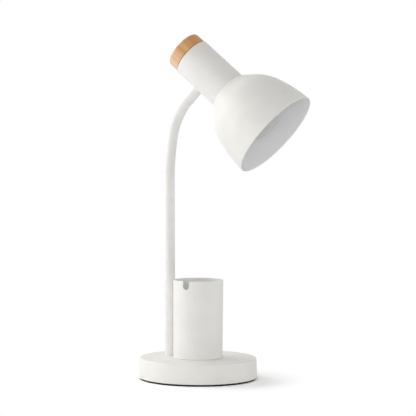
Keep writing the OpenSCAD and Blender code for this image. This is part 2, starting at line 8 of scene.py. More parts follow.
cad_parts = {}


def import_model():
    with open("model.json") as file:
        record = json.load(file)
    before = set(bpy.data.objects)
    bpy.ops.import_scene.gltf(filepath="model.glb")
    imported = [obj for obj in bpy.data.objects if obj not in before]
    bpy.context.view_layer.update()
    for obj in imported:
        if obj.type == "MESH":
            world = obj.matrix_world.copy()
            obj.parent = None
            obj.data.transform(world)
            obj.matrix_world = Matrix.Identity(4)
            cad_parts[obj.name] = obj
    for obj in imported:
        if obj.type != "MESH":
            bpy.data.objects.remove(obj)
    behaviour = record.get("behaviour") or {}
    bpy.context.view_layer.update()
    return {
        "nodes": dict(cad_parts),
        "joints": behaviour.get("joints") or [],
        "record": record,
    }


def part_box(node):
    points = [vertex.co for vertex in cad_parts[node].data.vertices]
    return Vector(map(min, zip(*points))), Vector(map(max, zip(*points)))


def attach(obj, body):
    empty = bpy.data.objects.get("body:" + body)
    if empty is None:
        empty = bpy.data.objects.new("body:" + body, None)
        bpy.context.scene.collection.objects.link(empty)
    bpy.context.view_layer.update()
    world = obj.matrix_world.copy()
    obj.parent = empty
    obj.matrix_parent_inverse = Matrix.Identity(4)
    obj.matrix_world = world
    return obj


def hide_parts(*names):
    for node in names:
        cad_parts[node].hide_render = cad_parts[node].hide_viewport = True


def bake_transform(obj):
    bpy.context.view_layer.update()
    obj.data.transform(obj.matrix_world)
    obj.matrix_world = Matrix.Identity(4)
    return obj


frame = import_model()

MM = 0.001

# ---------------------------------------------------------------------------
# The lamp's sizes, in metres, and the route of its neck
# ---------------------------------------------------------------------------

base_low, base_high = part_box("base_shell")
pad_low, pad_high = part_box("base_pad")
cup_low, cup_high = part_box("pen_cup")
bush_low, bush_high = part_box("cord_bush")
BASE_TOP = base_high.z
BUSH_Z = (bush_low.z + bush_high.z) / 2
BASE_R = (base_high.y - base_low.y) / 2
CUP_R = (cup_high.y - cup_low.y) / 2
NECK_X = (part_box("foot_nut")[0].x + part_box("foot_nut")[1].x) / 2

STUB = 45 * MM
STRAIGHT = 178 * MM
LEAN = math.radians(0.5)
LOW_BEND_R = 330 * MM
LOW_BEND = math.radians(10)
TOP_BEND_R = 86 * MM
TOP_BEND = math.radians(31.4)
TILT = LOW_BEND + TOP_BEND - LEAN
COLLAR = 20 * MM
COLLAR_R = 6.8 * MM
SLEEVE_R = 6.35 * MM
SLEEVE_BORE_R = 5.3 * MM
HOSE_FOOT = 14 * MM
HOSE_COIL_R = 4.25 * MM
HOSE_WIRE_R = 0.95 * MM
HOSE_PITCH = 1.9 * MM
FIRST_LINK = 60 * MM
STRAIGHT_LINKS = 5

HOUSING_R = 25.7 * MM
HOUSING_WALL = 1.2 * MM
HOUSING_BACK = -32.2 * MM
HOUSING_FRONT = 33.4 * MM
CAP_LEN = 16.5 * MM
CAP_R = 24.9 * MM
CAP_SEAM = 0.5 * MM
JOINT_EDGE = HOUSING_BACK - CAP_SEAM

MOUTH_R = 60.2 * MM
SHADE_WALL = 1.0 * MM
MOUTH_SLOPE = math.radians(1.9)
SKIRT_R = 178.6 * MM
SKIRT_TURN = math.radians(14.5)
SHOULDER_R = 64.2 * MM
SHOULDER_TURN = math.radians(26.6)
HOLDER_R = 19.4 * MM

GLOBE_R = 30 * MM
GLOBE_WALL = 1.4 * MM
GLOBE_TIP = 106.9 * MM
GLOBE_TOP_R = 40 * MM
GLOBE_EDGE_R = 16 * MM
GLOBE_SIDE_R = 34 * MM
GLOBE_SIDE_TURN = math.radians(28)
GLOBE_EDGE_RISE = math.sqrt((GLOBE_TOP_R - GLOBE_EDGE_R) ** 2 - (GLOBE_R - GLOBE_EDGE_R) ** 2)
GLOBE_WIDE = GLOBE_TIP - GLOBE_TOP_R + GLOBE_EDGE_RISE
GLOBE_RIM = GLOBE_WIDE - GLOBE_SIDE_R * math.sin(GLOBE_SIDE_TURN)
GLOBE_RIM_R = GLOBE_R - GLOBE_SIDE_R * (1 - math.cos(GLOBE_SIDE_TURN))

NECK_FOOT = (NECK_X, BASE_TOP)

# A route is a list of stretches in the X-Z plane: length, bend radius and lean at the stretch's start.
# A radius of 0 is straight, and one below 0 bends towards -X.
NECK = [
    (STUB, 0.0, 0.0),
    (STRAIGHT, 0.0, -LEAN),
    (LOW_BEND_R * LOW_BEND, LOW_BEND_R, -LEAN),
    (TOP_BEND_R * TOP_BEND, TOP_BEND_R, LOW_BEND - LEAN),
    (COLLAR + HOUSING_R, 0.0, TILT),
]
BENDS_AT = STUB + STRAIGHT
TOP_BEND_AT = BENDS_AT + LOW_BEND_R * LOW_BEND
COLLAR_AT = TOP_BEND_AT + TOP_BEND_R * TOP_BEND
NECK_LEN = COLLAR_AT + COLLAR + HOUSING_R

LEAD_R = 1.0 * MM
LEAD_Y = 2.0 * MM
LEAD_Z = 6.9 * MM
LEAD_FROM_X = -56 * MM
LEAD_BEND_R = 5 * MM
LEAD_END_BEND_R = 3.5 * MM
LEAD_END = 2.4 * MM
TERMINAL_OUT = 9 * MM


def frame_along(foot, route, along):
    """The frame this far along a route, +Z along it and +X on the inside of a bend towards +X."""
    x, z = foot
    for index, (length, radius, lean) in enumerate(route):
        run = along if index == len(route) - 1 else min(along, length)
        if radius:
            turned = lean + run / radius
            x += radius * (math.cos(lean) - math.cos(turned))
            z += radius * (math.sin(turned) - math.sin(lean))
        else:
            turned = lean
            x += run * math.sin(lean)
            z += run * math.cos(lean)
        along -= run
        if along <= 0:
            break
    return Matrix.Translation((x, 0, z)) @ Matrix.Rotation(turned, 4, "Y")


def neck_frame(along):
    """The neck's frame this far above the base's top, along the neck."""
    return frame_along(NECK_FOOT, NECK, along)


def lead_route(side):
    """A lead's route from the terminal block to the lampholder, and its length where the neck leaves
    its stub."""
    turn = math.pi / 2 + LEAN
    drop = (BASE_TOP + STUB - LEAD_Z - LEAD_BEND_R * (1 + math.sin(LEAN))) / math.cos(LEAN)
    low_run = NECK_X + drop * math.sin(LEAN) - LEAD_BEND_R * math.cos(LEAN) - LEAD_FROM_X
    route = [
        (low_run, 0.0, math.pi / 2),
        (LEAD_BEND_R * turn, -LEAD_BEND_R, math.pi / 2),
        (drop + STRAIGHT, 0.0, -LEAN),
        NECK[2],
        NECK[3],
        (COLLAR + HOUSING_R - side * TERMINAL_OUT - LEAD_END_BEND_R, 0.0, TILT),
        (LEAD_END_BEND_R * math.pi / 2, LEAD_END_BEND_R, TILT),
        (LEAD_END, 0.0, TILT + math.pi / 2),
    ]
    return route, low_run + LEAD_BEND_R * turn + drop


# Head frame: origin where the neck's axis meets the head's, +Z towards the mouth
HEAD = neck_frame(NECK_LEN) @ Matrix.Rotation(math.pi / 2, 4, "Y")

# The joints stand at the stations along the neck, all but the first and the last, which are its ends
LINK_PITCH = (STRAIGHT - FIRST_LINK) / STRAIGHT_LINKS
STATIONS = [0.0, STUB]
STATIONS += [STUB + FIRST_LINK + i * LINK_PITCH for i in range(STRAIGHT_LINKS + 1)]
STATIONS += [(BENDS_AT + TOP_BEND_AT) / 2, TOP_BEND_AT, (TOP_BEND_AT + COLLAR_AT) / 2, COLLAR_AT]
MIDDLES = [(a + b) / 2 for a, b in zip(STATIONS, STATIONS[1:])]


# ---------------------------------------------------------------------------
# Mesh helpers
# ---------------------------------------------------------------------------

SHARP_FROM = math.radians(35)
MERGE_WITHIN = 1e-6
ON_THE_AXIS = 1e-7


def arc(centre, radius, start, end, steps):
    """Points (radius, height) along an arc; angles in degrees, 0 away from the axis."""
    points = []
    for i in range(steps + 1):
        turn = math.radians(start + (end - start) * i / steps)
        points.append((centre[0] + radius * math.cos(turn), centre[1] + radius * math.sin(turn)))
    return points


def mesh_piece(name, verts, faces, place):
    """A closed mesh with outward faces, its place in its vertices."""
    mesh = bpy.data.meshes.new(name)
    mesh.from_pydata([place @ Vector(v) for v in verts], [], faces)
    piece = bpy.data.objects.new(name, mesh)
    bpy.context.scene.collection.objects.link(piece)
    tidy_mesh(piece)
    return piece


def tidy_mesh(piece):
    """Merges doubles, turns the faces outward and smooths all but the sharp edges."""
    work = bmesh.new()
    work.from_mesh(piece.data)
    bmesh.ops.remove_doubles(work, verts=work.verts, dist=MERGE_WITHIN)
    bmesh.ops.recalc_face_normals(work, faces=work.faces)
    work.to_mesh(piece.data)
    work.free()
    piece.data.shade_smooth()
    piece.data.set_sharp_from_angle(angle=SHARP_FROM)


def lathe(name, outline, place=Matrix.Identity(4), turns=160):
    """Turns a closed outline of (radius, height) points round +Z."""
    verts = []
    rings = []
    for radius, height in outline:
        if radius < ON_THE_AXIS:
            rings.append([len(verts)] * turns)
            verts.append((0, 0, height))
            continue
        rings.append(list(range(len(verts), len(verts) + turns)))
        for k in range(turns):
            a = 2 * math.pi * k / turns
            verts.append((radius * math.cos(a), radius * math.sin(a), height))
    faces = []
    for i, ring in enumerate(rings):
        above = rings[(i + 1) % len(rings)]
        for k in range(turns):
            m = (k + 1) % turns
            corners = [ring[k], ring[m], above[m], above[k]]
            face = [c for j, c in enumerate(corners) if c != corners[j - 1]]
            if len(set(face)) >= 3:
                faces.append(face)
    return mesh_piece(name, verts, faces, place)


def solid_of_rings(name, rings, place):
    """Joins rings of equal counts of points into one closed mesh, the last ring to the first."""
    turns = len(rings[0])
    verts = [point for ring in rings for point in ring]
    faces = []
    for i in range(len(rings)):
        above = (i + 1) % len(rings) * turns
        for k in range(turns):
            m = (k + 1) % turns
            faces.append((i * turns + k, i * turns + m, above + m, above + k))
    return mesh_piece(name, verts, faces, place)


def route_line(name, foot, route, length, side=0.0):
    """A line of short edges along a route, moved sideways along Y."""
    count = math.ceil(length / ROUTE_STEP)
    points = [frame_along(foot, route, length * i / count).translation for i in range(count + 1)]
    mesh = bpy.data.meshes.new(name)
    edges = [(i, i + 1) for i in range(count)]
    mesh.from_pydata([point + Vector((0, side, 0)) for point in points], edges, [])
    line = bpy.data.objects.new(name, mesh)
    bpy.context.scene.collection.objects.link(line)
    return line


def drill(piece, radius, start, length, turn=Matrix.Identity(4)):
    """Bores a round hole from start along +Z, or along +Z turned."""
    outline = [(0, 0), (radius, 0), (radius, length), (0, length)]
    cut(piece, lathe("drill", outline, Matrix.Translation(start) @ turn, turns=48))


def join(name, pieces):
    """One mesh of several finished ones."""
    work = bmesh.new()
    for piece in pieces:
        work.from_mesh(piece.data)
    mesh = bpy.data.meshes.new(name)
    work.to_mesh(mesh)
    work.free()
    joined = bpy.data.objects.new(name, mesh)
    bpy.context.scene.collection.objects.link(joined)
    for piece in pieces:
        bpy.data.objects.remove(piece)
    return joined


def cut(piece, cutter):
    """Takes the cutter's shape out of the piece, and deletes the cutter."""
    boolean = piece.modifiers.new("cut", "BOOLEAN")
    boolean.operation = "DIFFERENCE"
    boolean.solver = "EXACT"
    boolean.object = cutter
    apply_modifiers(piece)
    bpy.data.objects.remove(cutter)
    tidy_mesh(piece)


def apply_modifiers(piece):
    """Leaves the piece as the plain mesh that its modifiers make."""
    depsgraph = bpy.context.evaluated_depsgraph_get()
    mesh = bpy.data.meshes.new_from_object(piece.evaluated_get(depsgraph))
    piece.modifiers.clear()
    piece.data = mesh
    piece.data.name = piece.name


def dress(piece, body, slot, cad_node):
    """Gives a finished piece its slot's material and its body, and hides the CAD node it stands for."""
    piece.data.materials.clear()
    piece.data.materials.append(FINISHES[slot])
    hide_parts(cad_node)
    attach(piece, body)


# ---------------------------------------------------------------------------
# Materials
# ---------------------------------------------------------------------------


def srgb(code):
    """A colour written as sRGB hex, in the linear values that the shaders take."""
    channels = [int(code[i : i + 2], 16) / 255 for i in (1, 3, 5)]
    return tuple(c / 12.92 if c <= 0.04045 else ((c + 0.055) / 1.055) ** 2.4 for c in channels) + (1.0,)


def node(tree, kind, inputs=None, **settings):
    """Adds a node; an input is a value, or the socket that feeds it."""
    made = tree.nodes.new(kind)
    for key, value in settings.items():
        setattr(made, key, value)
    for key, value in (inputs or {}).items():
        if isinstance(value, bpy.types.NodeSocket):
            tree.links.new(value, made.inputs[key])
        else:
            made.inputs[key].default_value = value
    return made


def start_material(name):
    """A material with an empty tree, its shader and its Object coordinates."""
    material = bpy.data.materials.new(name)
    material.use_nodes = True
    tree = material.node_tree
    tree.nodes.clear()
    shader = node(tree, "ShaderNodeBsdfPrincipled")
    output = node(tree, "ShaderNodeOutputMaterial")
    tree.links.new(shader.outputs["BSDF"], output.inputs["Surface"])
    place = node(tree, "ShaderNodeTexCoord").outputs["Object"]
    return material, tree, shader, place


def size_to_scale(millimetres):
    """A noise scale whose features are this many millimetres apart."""
    return 1 / (millimetres * MM)


def mottle(tree, shader, place, dark, light, millimetres):
    """Base colour that drifts between two close tones over patches of the given size; gives the
    patches' signal."""
    noise = {"Vector": place, "Scale": size_to_scale(millimetres), "Detail": 3.0}
    patches = node(tree, "ShaderNodeTexNoise", noise)
    tones = node(tree, "ShaderNodeValToRGB", {"Fac": patches.outputs["Fac"]})
    tones.color_ramp.elements[0].position = 0.35
    tones.color_ramp.elements[1].position = 0.65
    tones.color_ramp.elements[0].color = srgb(dark)
    tones.color_ramp.elements[1].color = srgb(light)
    tree.links.new(tones.outputs["Color"], shader.inputs["Base Color"])
    return patches.outputs["Fac"]


def grain_bump(tree, shader, place, millimetres, height_mm, strength):
    """Relief of the given grain size and depth."""
    noise = {"Vector": place, "Scale": size_to_scale(millimetres), "Detail": 2.0}
    grains = node(tree, "ShaderNodeTexNoise", noise).outputs["Fac"]
    relief = {"Height": grains, "Distance": height_mm * MM, "Strength": strength}
    tree.links.new(node(tree, "ShaderNodeBump", relief).outputs["Normal"], shader.inputs["Normal"])


def vary_roughness(tree, shader, signal, low, high):
    """Roughness that follows a noise signal between two values."""
    limits = {"Value": signal, "From Min": 0.3, "From Max": 0.7, "To Min": low, "To Max": high}
    spread = node(tree, "ShaderNodeMapRange", limits).outputs["Result"]
    tree.links.new(spread, shader.inputs["Roughness"])


def powder_coat(name, dark, light, rough=(0.42, 0.52)):
    """Powder coat baked on steel: a satin skin with faint orange peel, which softens every highlight.
    Real peel is under 1 mm across; it is drawn at 1.6 mm so that it shows."""
    material, tree, shader, place = start_material(name)
    patches = mottle(tree, shader, place, dark, light, millimetres=28)
    grain_bump(tree, shader, place, millimetres=1.6, height_mm=0.02, strength=0.5)
    vary_roughness(tree, shader, patches, *rough)
    shader.inputs["IOR"].default_value = 1.5
    return material


def silicone_sleeve(name, dark, light):
    """Extruded silicone tube: softer and more matt than the paint, with a faint fine grain and a little
    light through its skin."""
    material, tree, shader, place = start_material(name)
    patches = mottle(tree, shader, place, dark, light, millimetres=16)
    grain_bump(tree, shader, place, millimetres=1.1, height_mm=0.012, strength=0.5)
    vary_roughness(tree, shader, patches, 0.46, 0.56)
    shader.inputs["IOR"].default_value = 1.42
    shader.inputs["Subsurface Weight"].default_value = 0.06
    shader.inputs["Subsurface Radius"].default_value = (0.003, 0.0026, 0.0022)
    shader.inputs["Subsurface Scale"].default_value = 1.0
    return material


def moulded_plastic(name, dark, light, rough, ior=1.49):
    """Injection-moulded thermoplastic: an even satin with the spark texture of its mould. The real
    texture is finer; it is drawn at 0.9 mm so that it shows."""
    material, tree, shader, place = start_material(name)
    patches = mottle(tree, shader, place, dark, light, millimetres=9)
    grain_bump(tree, shader, place, millimetres=0.9, height_mm=0.015, strength=0.4)
    vary_roughness(tree, shader, patches, rough - 0.04, rough + 0.05)
    shader.inputs["IOR"].default_value = ior
    return material


def diffuser_in_painted_shade(name):
    """Polycarbonate globe with a frosted inside, even and slightly translucent; its white is drawn as a
    greenish light grey, which is painted shade for the shadow inside the bell.
    """
    material, tree, shader, place = start_material(name)
    # Light grey with a green tint where the diffuser is white: painted shade
    patches = mottle(tree, shader, place, "#bbbdb8", "#c2c4bf", millimetres=22)
    grain_bump(tree, shader, place, millimetres=1.0, height_mm=0.008, strength=0.35)
    vary_roughness(tree, shader, patches, 0.34, 0.42)
    shader.inputs["IOR"].default_value = 1.58
    shader.inputs["Subsurface Weight"].default_value = 0.15
    shader.inputs["Subsurface Radius"].default_value = (0.004, 0.004, 0.004)
    shader.inputs["Subsurface Scale"].default_value = 1.0
    return material


def foam_pad(name):
    """Closed-cell EVA foam sheet: near black and matt, pitted by small cells."""
    material, tree, shader, place = start_material(name)
    mottle(tree, shader, place, "#0b0b0c", "#121213", millimetres=3)
    pits = {"Vector": place, "Scale": size_to_scale(1.1), "Randomness": 1.0}
    cells = node(tree, "ShaderNodeTexVoronoi", pits).outputs["Distance"]
    relief = {"Height": cells, "Distance": 0.2 * MM, "Strength": 0.6}
    tree.links.new(node(tree, "ShaderNodeBump", relief).outputs["Normal"], shader.inputs["Normal"])
    shader.inputs["Roughness"].default_value = 0.86
    shader.inputs["Specular IOR Level"].default_value = 0.3
    return material


def metal(name, dark, light, rough, grain_mm=1.4, height_mm=0.01, stretch=None):
    """Bare or plated metal: a dull sheen over fine grain, which stretch draws out along the tool's
    marks."""
    material, tree, shader, place = start_material(name)
    if stretch:
        place = node(tree, "ShaderNodeMapping", {"Vector": place, "Scale": stretch}).outputs[0]
    patches = mottle(tree, shader, place, dark, light, millimetres=6)
    grain_bump(tree, shader, place, grain_mm, height_mm, strength=0.6)
    vary_roughness(tree, shader, patches, rough - 0.06, rough + 0.08)
    shader.inputs["Metallic"].default_value = 1.0
    return material


def oiled_beech(name):
    """Turned beech with an oil finish: soft straight grain along the head and short ray flecks. Its tone
    runs from tan to straw across the blank, paler on the side towards the key light, which is painted
    light and shade. The edge at the joint is darker: painted shade in the seam."""
    material, tree, shader, place = start_material(name)
    centred = node(tree, "ShaderNodeMapping", {"Vector": place, "Location": -HEAD.translation}).outputs[0]
    turned = {"Vector": centred, "Rotation": HEAD.to_euler()}
    along = node(tree, "ShaderNodeVectorRotate", turned, rotation_type="EULER_XYZ", invert=True).outputs[0]
    across = node(tree, "ShaderNodeSeparateXYZ", {"Vector": along}).outputs

    grains = []
    for stretch_out, millimetres, detail in ((0.04, 7.0, 2.0), (0.05, 1.3, 3.0)):
        drawn_out = {"Vector": along, "Scale": (1.0, 0.6, stretch_out)}
        stretched = node(tree, "ShaderNodeMapping", drawn_out).outputs[0]
        noise = {"Vector": stretched, "Scale": size_to_scale(millimetres), "Detail": detail}
        grains.append(node(tree, "ShaderNodeTexNoise", noise).outputs["Fac"])
    bands, fibres = grains

    drift = {"Value": bands, "From Min": 0.3, "From Max": 0.7, "To Min": -0.2, "To Max": 0.2}
    drifted = node(tree, "ShaderNodeMapRange", drift).outputs["Result"]
    # Painted light and shade: paler towards the side that faces the key light and darker towards the
    # other, with a random drift on top
    blank_r = 24 * MM
    towards_lit_side = {"Value": across["X"], "From Min": -blank_r, "From Max": blank_r}
    painted_light_across = towards_lit_side | {"To Min": 0.16, "To Max": 0.84}
    lit_side_amount = node(tree, "ShaderNodeMapRange", painted_light_across).outputs["Result"]
    blank = node(tree, "ShaderNodeMath", {0: lit_side_amount, 1: drifted}, operation="ADD").outputs[0]
    tones = node(tree, "ShaderNodeValToRGB", {"Fac": blank})
    ramp = tones.color_ramp
    ramp.elements[0].position = 0.1
    ramp.elements[0].color = srgb("#c98f50")
    ramp.elements[1].position = 0.9
    ramp.elements[1].color = srgb("#f1dab8")
    ramp.elements.new(0.45).color = srgb("#dcaa6e")

    flecked = node(tree, "ShaderNodeMapping", {"Vector": along, "Scale": (1.0, 1.0, 0.24)}).outputs[0]
    fleck = {"Vector": flecked, "Scale": size_to_scale(1.9)}
    flecks = node(tree, "ShaderNodeTexVoronoi", fleck).outputs["Distance"]
    # A layer's signal, the two values it fades between, the amounts there, and its tone
    layers = [
        (fibres, 0.35, 0.7, 0.0, 0.22, "#c08a50"),
        (flecks, 0.06, 0.26, 0.18, 0.0, "#a96f3e"),
        # Darker brown within a millimetre of the joint edge: painted shade in the seam between cap and
        # housing
        (across["Z"], JOINT_EDGE - 1.1 * MM, JOINT_EDGE - 0.2 * MM, 0.0, 0.75, "#8a5426"),
    ]
    colour = tones.outputs["Color"]
    for signal, low, high, at_low, at_high, tone in layers:
        limits = {"Value": signal, "From Min": low, "From Max": high, "To Min": at_low, "To Max": at_high}
        amount = node(tree, "ShaderNodeMapRange", limits).outputs["Result"]
        mixed = {"Factor": amount, "A": colour, "B": srgb(tone)}
        colour = node(tree, "ShaderNodeMix", mixed, data_type="RGBA").outputs["Result"]
    tree.links.new(colour, shader.inputs["Base Color"])
    relief = {"Height": fibres, "Distance": 0.05 * MM, "Strength": 0.5}
    tree.links.new(node(tree, "ShaderNodeBump", relief).outputs["Normal"], shader.inputs["Normal"])
    vary_roughness(tree, shader, fibres, 0.4, 0.52)
    shader.inputs["IOR"].default_value = 1.5
    return material


FINISHES = {
    "base_paint": powder_coat("base_powder_coat", "#eeece7", "#f3f1ec"),
    "cup_paint": powder_coat("cup_powder_coat", "#ecebe8", "#f0efec"),
    "head_paint": powder_coat("housing_powder_coat", "#eceae6", "#f0eeea"),
    "shade_paint": powder_coat("shade_powder_coat", "#eceae5", "#f1efea"),
    "collar_paint": powder_coat("collar_powder_coat", "#ebe9e5", "#efede9"),
    "sleeve_silicone": silicone_sleeve("silicone_sleeve", "#ebe9e6", "#f0eeeb"),
    "cap_beech": oiled_beech("oiled_beech"),
    "pad_foam": foam_pad("eva_foam"),
    "globe_frosted": diffuser_in_painted_shade("frosted_polycarbonate_painted_shade"),
    "bulb_plastic": moulded_plastic("bulb_thermoplastic", "#e4e4e1", "#eaeae7", rough=0.38),
    "holder_plastic": moulded_plastic("holder_thermoplastic", "#dfddd8", "#e6e4df", rough=0.44),
    "bush_plastic": moulded_plastic("nylon_bush", "#e2e0dc", "#e9e7e3", rough=0.5, ior=1.53),
    "terminal_plastic": moulded_plastic("terminal_polyamide", "#d6d2c8", "#ded9cf", rough=0.5, ior=1.53),
    "lead_insulation": moulded_plastic(
        "lead_silicone_insulation", "#d9d7d0", "#e2e0d9", rough=0.5, ior=1.42
    ),
    "insulator_black": moulded_plastic("black_vitrite", "#121214", "#1c1c1f", rough=0.22, ior=1.55),
    "ballast_iron": metal("cast_iron", "#3b3c3e", "#56585a", rough=0.62, grain_mm=1.8, height_mm=0.12),
    "plate_zinc": metal("zinc_plated_steel", "#b3b7bb", "#cbced1", rough=0.34),
    "stud_steel": metal(
        "turned_zinc_steel", "#a9acae", "#c3c6c8", rough=0.3, grain_mm=0.9, stretch=(0.15, 0.15, 1.0)
    ),
    "nut_brass": metal("turned_brass", "#b8944a", "#d3b066", rough=0.28, grain_mm=1.0),
    "holder_brass": metal("pressed_brass", "#bd9c54", "#d8ba76", rough=0.3, grain_mm=1.2),
    "hose_steel": metal("wound_steel", "#85888b", "#a3a6a9", rough=0.36, grain_mm=1.2, height_mm=0.02),
    "board_aluminium": metal("solder_masked_aluminium", "#d6dade", "#e3e6e9", rough=0.5),
    "cap_nickel": metal("nickel_plated_brass", "#b2b3b2", "#cfd0cf", rough=0.24),
}
# A lighter, cooler copy of the shade's white for its inside: painted light bounced into the bell
SHADE_INSIDE_PAINTED_LIGHT = powder_coat("shade_inside_painted_bounce", "#f6f5f7", "#faf9fb", rough=(0.4, 0.5))

for part in frame["record"]["subparts"]:
    carried = frame["nodes"][part["node"]]
    carried.data.materials.clear()
    carried.data.materials.append(FINISHES[part["material_slot"]])

# ---------------------------------------------------------------------------
# Base and pen cup
# ---------------------------------------------------------------------------

CUP_SCREW_HOLE_R = 2.55 * MM
STUD_HOLE_R = 4.1 * MM
BUSH_HOLE_R = 5.0 * MM
DRILL_PAST = 5 * MM
TURN_TO_X = Matrix.Rotation(math.pi / 2, 4, "Y")


def base_shell():
    """Deep-drawn cover: drafted wall, rounded top edge and a hem rolled at its foot."""
    draft = 1.0 * MM
    top_r = BASE_R - draft
    wall = 1.2 * MM
    top = 1.4 * MM
    edge = 2.0 * MM
    hem = 1.0 * MM
    low = base_low.z
    outline = [(BASE_R - wall, low)]
    outline += arc((BASE_R - hem, low + hem), hem, -90, 0, 8)
    outline += arc((top_r - edge, BASE_TOP - edge), edge, 2, 90, 14)
    outline += [(CUP_SCREW_HOLE_R, BASE_TOP), (CUP_SCREW_HOLE_R, BASE_TOP - top)]
    outline += arc((top_r - edge, BASE_TOP - edge), edge - top, 90, 2, 6)
    shell = lathe("base_shell_skin", outline, turns=256)
    drill(shell, STUD_HOLE_R, (NECK_X, 0, BASE_TOP - DRILL_PAST), 2 * DRILL_PAST)
    drill(shell, BUSH_HOLE_R, (-BASE_R - DRILL_PAST, 0, BUSH_Z), 4 * DRILL_PAST, TURN_TO_X)
    dress(shell, "base", "base_paint", "base_shell")


def base_pad():
    """Foam disc with its cut edges just eased."""
    radius = (pad_high.x - pad_low.x) / 2
    edge = 0.5 * MM
    outline = [(0, pad_low.z)]
    outline += arc((radius - edge, pad_low.z + edge), edge, -90, 0, 4)
    outline += arc((radius - edge, pad_high.z - edge), edge, 0, 90, 4)
    outline += [(0, pad_high.z)]
    dress(lathe("base_pad_foam", outline, turns=192), "base", "pad_foam", "base_pad")


def cord_bush():
    """Snap-in bush: a rounded flange outside, a neck through the wall and a lip behind it."""
    flange_r = (bush_high.y - bush_low.y) / 2
    length = bush_high.x - bush_low.x
    bore = 3.6 * MM
    ease = 0.5 * MM
    fit = 0.03 * MM
    neck = BUSH_HOLE_R - fit
    flange = 2.2 * MM
    lip_r = 6.0 * MM
    lip_at = 3.75 * MM
    edge = 0.8 * MM
    outline = [(bore + ease, 0)]
    outline += arc((flange_r - edge, edge), edge, -90, 0, 6)
    outline += [(flange_r, flange), (neck, flange), (neck, lip_at), (lip_r, lip_at)]
    outline += [(lip_r, lip_at + ease), (neck, length), (bore, length), (bore, ease)]
    place = Matrix.Translation((bush_low.x, 0, BUSH_Z)) @ TURN_TO_X
    bush = lathe("cord_bush_moulding", outline, place, turns=64)
    dress(bush, "base", "bush_plastic", "cord_bush")


def pen_cup():
    """Drawn cup with a small foot radius and a trimmed, deburred rim, and a U-shaped notch through it."""
    draft = 0.4 * MM
    foot_r = CUP_R - draft
    wall = 1.2 * MM
    bottom = 1.4 * MM
    edge = 1.0 * MM
    burr = 0.3 * MM
    low = cup_low.z
    high = cup_high.z
    outline = [(CUP_SCREW_HOLE_R, low)]
    outline += arc((foot_r - edge, low + edge), edge, -90, 0, 8)
    outline += arc((CUP_R - burr, high - burr), burr, 0, 90, 5)
    outline += arc((CUP_R - wall + burr, high - burr), burr, 90, 180, 5)
    outline += arc((foot_r - wall - edge, low + bottom + edge), edge, 0, -90, 6)
    outline += [(CUP_SCREW_HOLE_R, low + bottom)]
    cup = lathe("pen_cup_body", outline, turns=192)
    notch_r = 4.5 * MM
    notch_depth = 10.7 * MM
    notch_turn = Matrix.Rotation(math.radians(-96.6), 4, "Z")
    past = 5 * MM
    shape = arc((0, high - notch_depth + notch_r), notch_r, -180, 0, 24)
    shape += [(notch_r, high + past), (-notch_r, high + past)]
    count = len(shape)
    verts = [(x, y, z) for x in (CUP_R / 2, CUP_R + past) for y, z in shape]
    faces = [list(range(count)), list(range(count, 2 * count))]
    faces += [(i, (i + 1) % count, (i + 1) % count + count, i + count) for i in range(count)]
    cut(cup, mesh_piece("notch_cutter", verts, faces, notch_turn))
    dress(cup, "base", "cup_paint", "pen_cup")


# ---------------------------------------------------------------------------
# Gooseneck: sleeve, wound hose and leads, in one length over each joint
# ---------------------------------------------------------------------------

ROUTE_STEP = 1.0 * MM
# How far to either side of a joint the neck's points below and above it are taken
BEND_REACH = 9.5 * MM
SLEEVE_SIDES = 64
LEAD_SIDES = 12
HOSE_SIDES = 6
POINTS_A_TURN = 14


def start_tree(name, sizes):
    """A geometry tree with named inputs, and the sockets that they arrive on."""
    tree = bpy.data.node_groups.new(name, "GeometryNodeTree")
    tree.interface.new_socket("Geometry", in_out="INPUT", socket_type="NodeSocketGeometry")
    tree.interface.new_socket("Geometry", in_out="OUTPUT", socket_type="NodeSocketGeometry")
    for label, kind in sizes.items():
        tree.interface.new_socket(label, in_out="INPUT", socket_type="NodeSocket" + kind)
    return tree, node(tree, "NodeGroupInput").outputs


def end_tree(tree, made, material):
    """Ends a tree in smooth, realized geometry with its material."""
    smooth = node(tree, "GeometryNodeSetShadeSmooth", {"Geometry": made}).outputs[0]
    real = node(tree, "GeometryNodeRealizeInstances", {"Geometry": smooth}).outputs[0]
    done = node(tree, "GeometryNodeSetMaterial", {"Geometry": real, "Material": material}).outputs[0]
    node(tree, "NodeGroupOutput", {"Geometry": done})


def length_of_route(tree, given):
    """The stretch of the route between From and To, measured along it."""
    curve = node(tree, "GeometryNodeMeshToCurve", {"Mesh": given["Geometry"]}).outputs[0]
    ends = {"Curve": curve, 4: given["From"], 5: given["To"]}
    return node(tree, "GeometryNodeTrimCurve", ends, mode="LENGTH").outputs[0]


def swept_tube_tree():
    """A round tube along a route, such as the sleeve or a lead."""
    sizes = {"From": "Float", "To": "Float", "Radius": "Float", "Sides": "Int", "Capped": "Bool"}
    tree, given = start_tree("swept_tube", sizes | {"Material": "Material"})
    circle = {"Resolution": given["Sides"], "Radius": given["Radius"]}
    profile = node(tree, "GeometryNodeCurvePrimitiveCircle", circle).outputs[0]
    tube = {"Curve": length_of_route(tree, given), "Profile Curve": profile, "Fill Caps": given["Capped"]}
    end_tree(tree, node(tree, "GeometryNodeCurveToMesh", tube).outputs[0], given["Material"])
    return tree


